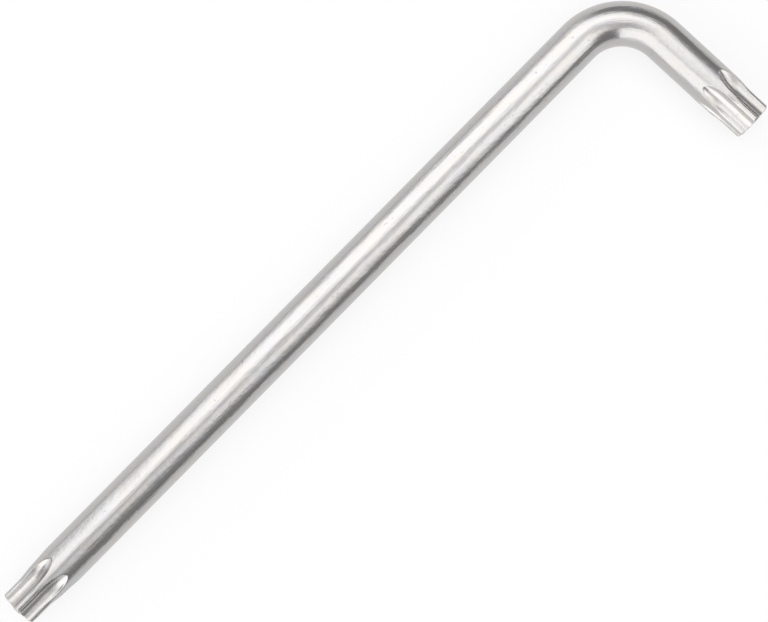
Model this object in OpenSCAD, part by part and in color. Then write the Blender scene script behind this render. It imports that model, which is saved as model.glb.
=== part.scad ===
// Star-drive key: one round steel rod, bent into a long and a short arm, with a
// six-lobed star tip formed on each end.
// It lies flat. +Z is up, X runs along the long arm towards the bend, and the short
// arm turns off towards -Y. The origin is under the middle of the key.

/* [Rod] */
// Diameter of the round rod
rod_d = 7; // [5.5:0.1:9]
// Long arm, from the end face of its tip to the back of the key
long_arm = 135; // [80:1:200]
// Short arm, from the end face of its tip to the back of the key
short_arm = 31.5; // [26:0.5:60]
// Radius of the bend, at the middle of the rod
bend_r = 9.5; // [6:0.5:12]
// Angle between the two arms
bend_angle = 92; // [80:1:110]
// How much bending thins the rod, off its radius
bend_thin = 0.02; // [0.01:0.005:0.05]

/* [Star tips] */
// How far the points of the star lie below the surface of the rod
point_step = 0.125; // [0.075:0.025:0.3]
// Depth of the flutes below the points
flute_depth = 0.95; // [0.75:0.05:1.2]
// Radius of each rounded point
point_r = 0.55; // [0.4:0.05:0.7]
// Length over which the flutes run straight
flute_l = 5; // [4:0.5:9]
// Radius on which the floor of a flute sweeps up to the surface of the rod
sweep_r = 9; // [4:0.5:12]
// Length of the shoulder where the points meet the round rod
shoulder_l = 0.5; // [0.2:0.1:1.5]
// Chamfer around each end face
chamfer = 0.35; // [0.1:0.05:0.5]

/* [Hidden] */
$fn = 96;
lobes = 6;
pitch = 360 / lobes;
rod_r = rod_d / 2;

// The star is a closed line of arcs: each point's arc runs smoothly into a flute's.
tip_r = rod_r - point_step;
floor_r = tip_r - flute_depth;
point_c = tip_r - point_r;
flute_r = (pow(point_r, 2) - pow(floor_r, 2) - pow(point_c, 2)
           + 2 * point_c * floor_r * cos(pitch / 2))
          / (2 * (floor_r - point_c * cos(pitch / 2) - point_r));
flute_c = floor_r + flute_r;

// Height and length of the swept end of a flute, and the length of the whole tip
sweep_rise = rod_r - floor_r;
sweep_l = sqrt(pow(sweep_r, 2) - pow(sweep_r - sweep_rise, 2));
tip_l = flute_l + sweep_l;
cut_clear = 0.4;

// How far the bend turns, what it takes from each arm, and how much stays straight
turn = 180 - bend_angle;
setback = bend_r * tan(turn / 2);
bend_rod_r = rod_r - bend_thin;
long_run = long_arm - rod_r - setback;
short_run = short_arm - rod_r - setback;
// How far the full rod of an arm runs on round the bend, before it thins
bend_lap = 0.1;

// How far the key reaches from the centre of its bend, to each side
lean = bend_angle - 90;
tip_side = point_c * cos(pitch / 2) + point_r;
back_x = max(lean > 0 ? 0 : bend_r + bend_rod_r,
             (bend_r + rod_r) * cos(lean) + (short_run - tip_l) * sin(lean),
             (bend_r + tip_side) * cos(lean) + short_run * sin(lean));
front_y = short_run * cos(lean)
          - (lean > 0 ? bend_r - tip_side : bend_r + tip_side) * sin(lean);

// Where the centre of the bend lies, with the origin under the middle of the key
centre_x = (long_run - back_x) / 2;
centre_y = (front_y - bend_r - rod_r) / 2;

// Section of a tip: six rounded points, with a hollow flute between each two
module star_section() {
    difference() {
        union() {
            polygon([for (i = [0 : 2 * lobes - 1])
                         (i % 2 == 0 ? point_c : flute_c)
                         * [cos(i * pitch / 2), sin(i * pitch / 2)]]);
            for (i = [0 : lobes - 1])
                rotate(i * pitch) translate([point_c, 0]) circle(r = point_r);
        }
        for (i = [0.5 : lobes - 0.5])
            rotate(i * pitch) translate([flute_c, 0]) circle(r = flute_r);
    }
}

// The space that a flute clears below z = 0, as its floor sweeps out of the rod
module flute_sweep() {
    translate([floor_r + sweep_r, 0, 0])
        rotate([90, 0, 0])
            rotate_extrude(angle = 90, start = 180)
                intersection() {
                    translate([sweep_r - flute_r, 0]) circle(r = flute_r);
                    translate([sweep_r - sweep_rise - cut_clear, -flute_r])
                        square([sweep_rise + 2 * cut_clear, 2 * flute_r]);
                }
}

// The fluted end, from z = 0 up to its chamfered end face
module star_end() {
    intersection() {
        linear_extrude(flute_l) star_section();
        cylinder(r1 = tip_r - chamfer + flute_l, r2 = tip_r - chamfer, h = flute_l);
    }
}

// The round part of an arm, below z = 0, with the swept ends of the flutes cut in
module shank(length) {
    difference() {
        rotate_extrude()
            polygon([[0, -length], [rod_r, -length], [rod_r, -shoulder_l],
                     [rod_r - point_step / 2, 0], [0, 0]]);
        for (i = [0.5 : lobes - 0.5])
            rotate(i * pitch) flute_sweep();
    }
}

// An arm along -X, from the bend at x = 0 to its end face, with one of the star's points up
module arm(run) {
    rotate([0, -90, 0]) translate([0, 0, run - flute_l]) {
        star_end();
        shank(run - flute_l + bend_lap);
    }
}

// The rod, round the centre of its bend: the long arm leaves it along -X
module bent_rod() {
    rotate_extrude(angle = turn, start = 90 - turn)
        translate([bend_r, 0]) circle(r = bend_rod_r);
    translate([0, bend_r, 0]) arm(long_run);
    rotate([0, 0, -turn]) translate([0, bend_r, 0]) rotate([0, 0, 180]) arm(short_run);
}

module star_key() {
    color("silver") translate([centre_x, centre_y, rod_r]) bent_rod();
}

star_key();
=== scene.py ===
import math
import bpy
from mathutils import Matrix, Vector


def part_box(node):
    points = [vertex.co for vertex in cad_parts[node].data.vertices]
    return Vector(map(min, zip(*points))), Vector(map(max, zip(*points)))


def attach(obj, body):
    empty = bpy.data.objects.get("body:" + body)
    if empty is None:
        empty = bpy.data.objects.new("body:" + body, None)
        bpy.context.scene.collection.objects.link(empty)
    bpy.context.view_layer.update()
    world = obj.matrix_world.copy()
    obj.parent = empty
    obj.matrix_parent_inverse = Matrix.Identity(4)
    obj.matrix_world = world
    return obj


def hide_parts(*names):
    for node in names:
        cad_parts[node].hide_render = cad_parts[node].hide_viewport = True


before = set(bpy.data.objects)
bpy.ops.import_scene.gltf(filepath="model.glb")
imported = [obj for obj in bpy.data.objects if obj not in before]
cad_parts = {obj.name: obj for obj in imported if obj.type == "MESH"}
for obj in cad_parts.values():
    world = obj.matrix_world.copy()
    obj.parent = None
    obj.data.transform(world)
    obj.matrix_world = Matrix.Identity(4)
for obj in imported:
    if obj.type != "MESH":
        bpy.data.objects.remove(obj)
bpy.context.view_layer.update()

scene = bpy.context.scene
mm = 0.001


# ---- The key ----
# One round rod of tool steel, bent once and plated. Each end is pressed in a die that leaves
# six flutes, which run out into the rod in pointed arches, and its edges are then broken.
# Here the rod's surface is laid out flat, shaped, and rolled up round its bent centre line.

rod_r = 3.5 * mm
bend_r = 9.5 * mm
bend_turn = math.radians(88)
long_arm = 135 * mm             # from its end face to the back of the key
short_arm = 31.5 * mm
bend_setback = bend_r * math.tan(bend_turn / 2)

# The star is a closed line of arcs, and each point's arc runs smoothly into a flute's
point_reach = 3.375 * mm        # from the middle of the star to the top of a point
flute_floor = 2.425 * mm        # and to the floor of a flute
point_r = 0.55 * mm
half_pitch = math.pi / 6        # from the middle of a point to the middle of a flute
point_centre = point_reach - point_r
flute_r = ((point_r ** 2 - flute_floor ** 2 - point_centre ** 2
            + 2 * point_centre * flute_floor * math.cos(half_pitch))
           / (2 * (flute_floor - point_centre * math.cos(half_pitch) - point_r)))
flute_centre = flute_floor + flute_r
# Where the two arcs touch, from the point's centre, and the angle to it from the star's middle
touch = Vector((flute_centre * math.cos(half_pitch) - point_centre,
                flute_centre * math.sin(half_pitch))).normalized() * point_r
point_share = math.atan2(touch.y, point_centre + touch.x)

# The floor of a flute sweeps up to the surface of the rod over the run-out
sweep_r = 9.0 * mm
run_out = math.sqrt(sweep_r ** 2 - (sweep_r - rod_r + flute_floor) ** 2)

tip_sizes = {
    "Point radius": point_r,
    "Point centre": point_centre,
    "Point share": point_share,
    "Point reach": point_reach,
    "Flute radius": flute_r,
    "Flute floor": flute_floor,
    "Flute length": 5.0 * mm,
    "Sweep radius": sweep_r,
    "Run-out": run_out,
    "Tightening": 0.42,             # share of its radius that a flute loses over the run-out
    "Shoulder start": 3.1 * mm,     # where the points begin to grow out to the round rod
    "Shoulder end": 6.2 * mm,
    "Chamfer": 0.35 * mm,
    "End round": 0.12 * mm,
    "Arch round": 0.16 * mm,
}
key_sizes = {
    "Rod radius": rod_r,
    "Bend radius": bend_r,
    "Bend angle": bend_turn,
    "Long arm": long_arm - rod_r - bend_setback,        # the straight part only
    "Short arm": short_arm - rod_r - bend_setback,
    "Columns": 288,                 # of faces round the rod
    **tip_sizes,
}


class Measure:
    """A number that a tree works out at each point. Arithmetic on it adds Math nodes."""

    def __init__(self, socket):
        self.socket = socket

    def __add__(self, other):
        return reckon("ADD", self, other)

    def __sub__(self, other):
        return reckon("SUBTRACT", self, other)

    def __rsub__(self, other):
        return reckon("SUBTRACT", other, self)

    def __mul__(self, other):
        return reckon("MULTIPLY", self, other)

    def __truediv__(self, other):
        return reckon("DIVIDE", self, other)

    __radd__ = __add__
    __rmul__ = __mul__


def put(place, term):
    """Links a measure or an output into a socket, or writes a plain value there."""
    source = term.socket if isinstance(term, Measure) else term
    if isinstance(source, bpy.types.NodeSocket):
        place.id_data.links.new(source, place)
    else:
        place.default_value = source


def reckon(operation, *terms):
    """A Math node on the terms, in the tree that they belong to."""
    tree = next(term.socket.id_data for term in terms if isinstance(term, Measure))
    node = tree.nodes.new("ShaderNodeMath")
    node.operation = operation
    for place, term in zip(node.inputs, terms):
        put(place, term)
    return Measure(node.outputs[0])


def add_node(tree, kind, inputs=(), **settings):
    """A node with its settings, and its inputs given by name."""
    node = tree.nodes.new(kind)
    for name, value in settings.items():
        setattr(node, name, value)
    for name, term in dict(inputs).items():
        put(node.inputs[name], term)
    return node


def smooth_step(value, start, end):
    """Goes smoothly from 0 to 1 as the value goes from start to end."""
    node = add_node(value.socket.id_data, "ShaderNodeMapRange", {
        "Value": value, "From Min": start, "From Max": end},
        interpolation_type="SMOOTHSTEP")
    return Measure(node.outputs[0])


def far_side(centre, radius, turned):
    """How far out a ray from the rod's middle leaves a circle.

    The circle's centre lies that far out, and is turned that much off the ray."""
    aside = centre * reckon("SINE", turned)
    inside = reckon("MAXIMUM", radius * radius - aside * aside, 0.0)
    return centre * reckon("COSINE", turned) + reckon("SQRT", inside)


def near_side(centre, radius, turned):
    """How far out such a ray enters the circle. The wider it misses, the larger the number."""
    aside = centre * reckon("SINE", turned)
    inside = radius * radius - aside * aside
    missed = reckon("MAXIMUM", inside * -1, 0.0)
    entered = centre * reckon("COSINE", turned) - reckon("SQRT", reckon("MAXIMUM", inside, 0.0))
    miss_scale = 0.01 * mm
    return entered + missed / miss_scale


def new_tree(name, labels):
    """A geometry tree with a named input for each size, and those inputs as measures."""
    tree = bpy.data.node_groups.new(name, "GeometryNodeTree")
    for label in labels:
        kind = "NodeSocketInt" if label == "Columns" else "NodeSocketFloat"
        tree.interface.new_socket(label, in_out="INPUT", socket_type=kind)
    tree.interface.new_socket("Geometry", in_out="OUTPUT", socket_type="NodeSocketGeometry")
    given = tree.nodes.new("NodeGroupInput")
    return tree, {label: Measure(given.outputs[label]) for label in labels}


def unrolled(tree, strips, columns):
    """Flat strips of the rod's surface: X is the angle round the rod, Y the place along it."""
    join = tree.nodes.new("GeometryNodeJoinGeometry")
    for start, end, rows in strips:
        grid = add_node(tree, "GeometryNodeMeshGrid", {
            "Size X": 2 * math.pi, "Size Y": end - start,
            "Vertices X": columns + 1, "Vertices Y": rows + 1})
        middle = add_node(tree, "ShaderNodeCombineXYZ", {"X": math.pi, "Y": (start + end) / 2})
        strip = add_node(tree, "GeometryNodeTransform", {
            "Geometry": grid.outputs["Mesh"], "Translation": middle.outputs[0]})
        put(join.inputs[0], strip.outputs[0])
    where = add_node(tree, "ShaderNodeSeparateXYZ", {
        "Vector": tree.nodes.new("GeometryNodeInputPosition").outputs[0]})
    return join.outputs[0], Measure(where.outputs["X"]), Measure(where.outputs["Y"])


def rolled(tree, flat, grain, pressed, place):
    """Notes where each point lies on the straight rod, then moves it to its real place."""
    noted = add_node(tree, "GeometryNodeStoreNamedAttribute", {
        "Geometry": flat, "Name": "grain",
        "Value": add_node(tree, "ShaderNodeCombineXYZ", grain).outputs[0]},
        data_type="FLOAT_VECTOR", domain="POINT")
    noted = add_node(tree, "GeometryNodeStoreNamedAttribute", {
        "Geometry": noted.outputs[0], "Name": "pressed", "Value": pressed},
        data_type="FLOAT", domain="POINT")
    curled = add_node(tree, "GeometryNodeSetPosition", {
        "Geometry": noted.outputs[0],
        "Position": add_node(tree, "ShaderNodeCombineXYZ", place).outputs[0]})
    return curled.outputs[0]


# One arm lies along -X, from the bend at 0 out to its end face, with a point of the star up.
# It faces 1, or -1 where it is turned round later, so that the grain runs on past the bend.
arm_tree, size = new_tree("fluted_arm", [
    *tip_sizes, "Rod radius", "Run", "Facing", "Start of grain", "Columns"])
round_r, run, facing = size["Rod radius"], size["Run"], size["Facing"]
shoulder_start, shoulder_end = size["Shoulder start"], size["Shoulder end"]
flute_end = size["Flute length"]

# Each strip has its number of rows, which lie closest where the shape changes fastest.
# The first strip lies across the flat end face, from its middle out to its rim.
chamfer_zone = 0.5 * mm
arches_start = shoulder_end - 0.4 * mm
arches_end = flute_end + 5.0 * mm
plain_start = arches_end + 1.5 * mm
flat, angle, along = unrolled(arm_tree, [
    (round_r * -1, 0.0, 5),
    (0.0, chamfer_zone, 12),
    (chamfer_zone, shoulder_start, 8),
    (shoulder_start, arches_start, 12),
    (arches_start, arches_end, 66),
    (arches_end, plain_start, 3),
    (plain_start, run, 14),
], size["Columns"])
face_share = reckon("MINIMUM", along / round_r + 1, 1.0)
depth = reckon("MAXIMUM", along, 0.0)

from_point = reckon("PINGPONG", angle, half_pitch)
from_flute = half_pitch - from_point
point = far_side(size["Point centre"], size["Point radius"], from_point)
straight_flute = near_side(size["Flute floor"] + size["Flute radius"],
                           size["Flute radius"], from_flute)
on_point = reckon("LESS_THAN", from_point, size["Point share"])
star = on_point * point + (1.0 - on_point) * straight_flute

# The points grow out to the round rod, and each flute's floor sweeps up through it
grown = smooth_step(depth, shoulder_start, shoulder_end)
land = star + grown * (round_r - star)
past = reckon("MAXIMUM", depth - flute_end, 0.0)
sweep = size["Sweep radius"]
rise = sweep - reckon("SQRT", reckon("MAXIMUM", sweep * sweep - past * past, 0.0))
# The flute's section tightens towards the end of its run, which points its arch
run_share = past / size["Run-out"]
tight = size["Flute radius"] * (1.0 - size["Tightening"] * run_share * run_share * run_share)
tightest = 0.5 * mm
tight = reckon("MAXIMUM", tight, tightest)
swept_flute = near_side(size["Flute floor"] + rise + tight, tight, from_flute)
section = reckon("SMOOTH_MIN", land, swept_flute, grown * size["Arch round"])

# The chamfer round the end face, and the small round that breaks the last edge
chamfer_blend = 0.1 * mm
chamfer_cone = size["Point reach"] - size["Chamfer"] + depth
section = reckon("SMOOTH_MIN", section, chamfer_cone, chamfer_blend)
end_round = size["End round"]
into_round = reckon("MAXIMUM", end_round - depth, 0.0)
broken = end_round - reckon("SQRT", end_round * end_round - into_round * into_round)
radius = (section - broken) * face_share

# Whatever lies below the surface of the plain rod has been pressed or cut
pressed_from = 0.02 * mm
pressed_fully = 0.12 * mm
pressed = smooth_step(round_r - radius, pressed_from, pressed_fully)
out = radius * reckon("SINE", angle)
up = radius * reckon("COSINE", angle)
from_bend = depth - run
along_grain = size["Start of grain"] + facing * from_bend
arm = rolled(arm_tree, flat, grain={"X": facing * out, "Y": up, "Z": along_grain},
             pressed=pressed, place={"X": from_bend, "Y": out, "Z": up})
put(arm_tree.nodes.new("NodeGroupOutput").inputs[0], arm)


# The whole key lies round the centre of its bend, with the rod's centre line at 0
key_tree, size = new_tree("bent_key", key_sizes)
round_r, bend, turn = size["Rod radius"], size["Bend radius"], size["Bend angle"]


def fluted_arm(run, facing, start_of_grain, longer):
    """An arm of that straight length, with its flutes pressed that much longer."""
    node = key_tree.nodes.new("GeometryNodeGroup")
    node.node_tree = arm_tree
    for label in [*tip_sizes, "Rod radius", "Columns"]:
        put(node.inputs[label], size[label])
    put(node.inputs["Flute length"], size["Flute length"] + longer)
    put(node.inputs["Run"], run)
    put(node.inputs["Facing"], facing)
    put(node.inputs["Start of grain"], start_of_grain)
    return node.outputs[0]


def moved(geometry, how):
    """The geometry, turned first and then moved."""
    return add_node(key_tree, "GeometryNodeTransform", {"Geometry": geometry, **how}).outputs[0]


joined = key_tree.nodes.new("GeometryNodeJoinGeometry")
to_arm = add_node(key_tree, "ShaderNodeCombineXYZ", {"Y": bend}).outputs[0]
long = fluted_arm(size["Long arm"], facing=1.0, start_of_grain=0.0, longer=0.0)
put(joined.inputs[0], moved(long, {"Translation": to_arm}))
short = fluted_arm(size["Short arm"], facing=-1.0, start_of_grain=bend * turn,
                   longer=0.3 * mm)
short = moved(short, {"Rotation": (0, 0, math.pi), "Translation": to_arm})
round_bend = add_node(key_tree, "ShaderNodeCombineXYZ", {"Z": turn * -1}).outputs[0]
put(joined.inputs[0], moved(short, {"Rotation": round_bend}))

bend_rows = 36
flat, angle, turned = unrolled(key_tree, [(0.0, turn, bend_rows)], size["Columns"])
out = round_r * reckon("SINE", angle)
up = round_r * reckon("COSINE", angle)
reach = bend + out
across = reach * reckon("SINE", turned)
back = reach * reckon("COSINE", turned)
put(joined.inputs[0], rolled(key_tree, flat, grain={"X": out, "Y": up, "Z": bend * turned},
                             pressed=0.0, place={"X": across, "Y": back, "Z": up}))

weld = 0.002 * mm
welded = add_node(key_tree, "GeometryNodeMergeByDistance", {
    "Geometry": joined.outputs[0], "Distance": weld})
outward = add_node(key_tree, "GeometryNodeFlipFaces", {"Mesh": welded.outputs[0]})
smooth = add_node(key_tree, "GeometryNodeSetShadeSmooth", {"Geometry": outward.outputs[0]})
real = add_node(key_tree, "GeometryNodeRealizeInstances", {"Geometry": smooth.outputs[0]})
plated_steel = bpy.data.materials.new("plated_steel")
finished = add_node(key_tree, "GeometryNodeSetMaterial", {
    "Geometry": real.outputs[0], "Material": plated_steel})
put(key_tree.nodes.new("NodeGroupOutput").inputs[0], finished.outputs[0])

key = bpy.data.objects.new("bent_star_key", bpy.data.meshes.new("bent_star_key"))
scene.collection.objects.link(key)
forming = key.modifiers.new("forming", "NODES")
forming.node_group = key_tree
for item in key_tree.interface.items_tree:
    if item.in_out == "INPUT":
        forming[item.identifier] = key_sizes[item.name]
depsgraph = bpy.context.evaluated_depsgraph_get()
formed = bpy.data.meshes.new_from_object(key.evaluated_get(depsgraph),
                                         preserve_all_data_layers=True, depsgraph=depsgraph)
key.modifiers.remove(forming)
key.data = formed
low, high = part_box("star_key")
bend_centre = Vector((low.x + key_sizes["Long arm"], high.y - rod_r - bend_r, low.z + rod_r))
formed.transform(Matrix.Translation(bend_centre))

# Satin plating over drawn steel. Its patterns follow the rod round the bend.
plated_steel.use_nodes = True
steel = plated_steel.node_tree
shader = steel.nodes["Principled BSDF"]
shader.inputs["Metallic"].default_value = 1.0
grain_note = steel.nodes.new("ShaderNodeAttribute")
grain_note.attribute_name = "grain"
grain = grain_note.outputs["Vector"]
pressed_note = steel.nodes.new("ShaderNodeAttribute")
pressed_note.attribute_name = "pressed"
pressed = Measure(pressed_note.outputs["Fac"])


def on_rod(grains_around, grains_along, detail=2.0, shift=0.0):
    """Noise laid along the rod: so many grains to a millimetre round it and along it."""
    place = add_node(steel, "ShaderNodeMapping", {
        "Vector": grain, "Location": (shift, shift, shift),
        "Scale": (grains_around / mm, grains_around / mm, grains_along / mm)})
    noise = add_node(steel, "ShaderNodeTexNoise", {
        "Vector": place.outputs[0], "Scale": 1.0, "Detail": detail})
    return Measure(noise.outputs[0])


# Slow unevenness left by straightening, fine lines from the drawing die, and a faint skin
swell = on_rod(0.35, 0.10)
lines = on_rod(4.0, 0.12, shift=7.0)
skin = on_rod(2.4, 1.3, detail=3.0, shift=3.0)
swell_height = 0.13             # in millimetres, as are the next two
line_height = 0.022
skin_height = 0.024
height = swell_height * swell + line_height * lines + skin_height * skin

# The short arm takes the light as if it were bent a shade out of level. Its shape is level,
# and the tilt is a slope that is added to the height and eases in over the bend. The slope,
# and where it eases in, are the rounded output of the fitting program that the lamps' section
# names.
tilt = 0.12
tilt_start = 0.4 * mm           # along the rod, from where the bend begins
tilt_full = 7.0 * mm
ease = tilt_full - tilt_start
past_bend = Measure(add_node(steel, "ShaderNodeSeparateXYZ", {"Vector": grain}).outputs["Z"])
eased = reckon("MINIMUM", (past_bend - tilt_start) / ease, 1.0)
eased = reckon("MAXIMUM", eased, 0.0)
eased_cubed = eased * eased * eased
gained = (ease * (eased_cubed - 0.5 * eased * eased_cubed)
          + reckon("MAXIMUM", past_bend - tilt_full, 0.0))
height = height + tilt / mm * gained
bump = add_node(steel, "ShaderNodeBump", {
    "Height": height, "Distance": 1.0 * mm, "Strength": 1.0})
put(shader.inputs["Normal"], bump.outputs[0])

# Patches of duller plating, specks in it, and brighter plating where the steel was pressed
patches = on_rod(0.5, 0.12, detail=3.0, shift=11.0)
specks = smooth_step(on_rod(2.6, 1.8, detail=1.0, shift=29.0), 0.70, 0.78)
base_roughness = 0.20
patch_roughness = 0.06
pressed_roughness = 0.04
put(shader.inputs["Roughness"],
    base_roughness + patch_roughness * patches + pressed_roughness * pressed)
base_tone = 0.458
patch_gain = 0.035
line_gain = 0.035
speck_loss = 0.3
pressed_gain = 0.11
tone = ((base_tone + patch_gain * patches + line_gain * lines)
        * (1.0 - speck_loss * specks + pressed_gain * pressed))
# The plating is faintly warm, a shade more here and a shade less there
warmth = on_rod(0.8, 0.25, shift=17.0) - 0.5
red = tone * (1.015 + 0.06 * warmth)
green = tone * 0.99
blue = tone * (0.978 - 0.14 * warmth)
colour = add_node(steel, "ShaderNodeCombineColor", {"Red": red, "Green": green, "Blue": blue})
put(shader.inputs["Base Color"], colour.outputs[0])

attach(key, "root")
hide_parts("star_key")


# ---- The floor ----
# A wide sheet of matt white paper that the key lies on, and that keeps its faint shadow.
# Straight to the eye, and in reflections, it is mostly plain white.

floor_half = 6.0
floor_mesh = bpy.data.meshes.new("floor")
floor_mesh.from_pydata([(-floor_half, -floor_half, 0), (floor_half, -floor_half, 0),
                        (floor_half, floor_half, 0), (-floor_half, floor_half, 0)],
                       [], [(0, 1, 2, 3)])
floor = bpy.data.objects.new("floor", floor_mesh)
scene.collection.objects.link(floor)

paper = bpy.data.materials.new("white_paper")
paper.use_nodes = True
sheet = paper.node_tree
matt = sheet.nodes["Principled BSDF"]
matt.inputs["Base Color"].default_value = (0.8, 0.8, 0.8, 1)
matt.inputs["Roughness"].default_value = 1.0
matt.inputs["Specular IOR Level"].default_value = 0.0
ray = sheet.nodes.new("ShaderNodeLightPath")
seen = Measure(ray.outputs["Is Camera Ray"])
for kind in ("Is Glossy Ray", "Is Transmission Ray"):
    seen = reckon("MAXIMUM", seen, Measure(ray.outputs[kind]))
whiteness = 0.8
white = add_node(sheet, "ShaderNodeEmission", {"Strength": 1.0})
paper_mix = add_node(sheet, "ShaderNodeMixShader", {"Fac": seen * whiteness})
put(paper_mix.inputs[1], matt.outputs[0])
put(paper_mix.inputs[2], white.outputs[0])
put(sheet.nodes["Material Output"].inputs["Surface"], paper_mix.outputs[0])
floor_mesh.materials.append(paper)


# ---- The lamps ----
# White softboxes stand over and round the key in a dim grey room. The plating shows them
# as its light bands, and the room between them as its dark ones.

room_grey = 0.29
world = bpy.data.worlds.new("studio")
world.use_nodes = True
background = world.node_tree.nodes["Background"]
background.inputs["Color"].default_value = (room_grey, room_grey, room_grey, 1)
scene.world = world

lamp_distance = 2.0
layer_gap = 0.02                # lamps in one plane hide each other, so each is set back


def softbox(name, low, high, radiance, fade=(0,), turn=0):
    """A flat rectangular lamp, given by two opposite corners, in lamp distances.

    One with a fade is a nest of lamps, each smaller by its margin, so that its edge is soft.
    A turn, in degrees, is about the upright through the middle of the room."""
    for layer, margin in enumerate(fade):
        reach = lamp_distance * (1 + layer_gap * layer)
        inner = Vector(low) * reach
        outer = Vector(high) * reach
        for side in range(3):
            if outer[side] != inner[side]:
                inner[side] += margin * reach
                outer[side] -= margin * reach
        lamp = bpy.data.lights.new(f"{name}_{layer}", "AREA")
        lamp.shape = "RECTANGLE"
        box = bpy.data.objects.new(f"{name}_{layer}", lamp)
        box.visible_camera = False
        scene.collection.objects.link(box)
        about_upright = Matrix.Rotation(math.radians(turn), 3, "Z")
        box.location = about_upright @ ((inner + outer) / 2)
        span = outer - inner
        if span.z == 0:                     # overhead, facing down
            lamp.size = span.x
            lamp.size_y = span.y
            box.rotation_euler = (0, 0, math.radians(turn))
        elif span.x == 0:                   # at the left, facing right
            lamp.size = span.z
            lamp.size_y = span.y
            box.rotation_euler = (0, -math.pi / 2, 0)
        else:                               # at the back, facing forward
            lamp.size = span.x
            lamp.size_y = span.z
            box.rotation_euler = (-math.pi / 2, 0, 0)
        lamp.energy = radiance / len(fade) * math.pi * lamp.size * lamp.size_y


# The room's grey, and the places and turns of all the lamps but the right and back left ones,
# are the output of a program that fitted them to measured brightness. They were only
# rounded, and their strengths changed a little. They aren't worked out from the key.
softbox("ceiling_softbox", (-0.51, 0.08, 1), (0.66, 2.36, 1), 1.76,
        fade=(-0.20, -0.07, 0.07, 0.20), turn=-6)
softbox("overhead_filler", (-0.41, 0.01, 1), (-0.09, 0.27, 1), 0.5, turn=4)
softbox("lower_softbox", (-0.35, -2.5, 1), (0.53, -0.18, 1), 1.6,
        fade=(-0.18, -0.06, 0.06, 0.18), turn=22)
softbox("right_softbox", (0.36, -0.45, 1), (1.3, 0.12, 1), 1.8, fade=(-0.04, 0.04))
softbox("left_softbox", (-1, -0.96, 0.01), (-1, 0.52, 1.76), 1.6, fade=(-0.05, 0.05))
softbox("back_left_softbox", (-1, 0.52, 0.12), (-1, 1.3, 0.7), 1.3)
softbox("low_softbox", (-0.51, 1, 0.11), (0.42, 1, 0.43), 0.9, fade=(-0.08, 0.08))


# ---- The camera ----
# It hangs over the middle of the key and looks almost straight down, through a long lens.
# It is turned so that the long arm runs up across the view, from lower left to upper right.
# A program fitted its place and turn to the key's outline, for a given lens.

camera_data = bpy.data.cameras.new("camera")
camera_data.sensor_width = 36
camera_data.lens = 98.44
camera_data.clip_start = 0.01
camera = bpy.data.objects.new("camera", camera_data)
scene.collection.objects.link(camera)
camera.location = (-5.44 * mm, 3.23 * mm, 326.37 * mm)
camera.rotation_mode = "YXZ"
camera.rotation_euler = (math.radians(1.32), math.radians(-0.99), math.radians(-45.40))
scene.camera = camera
scene.view_settings.view_transform = "Standard"

bpy.context.view_layer.update()
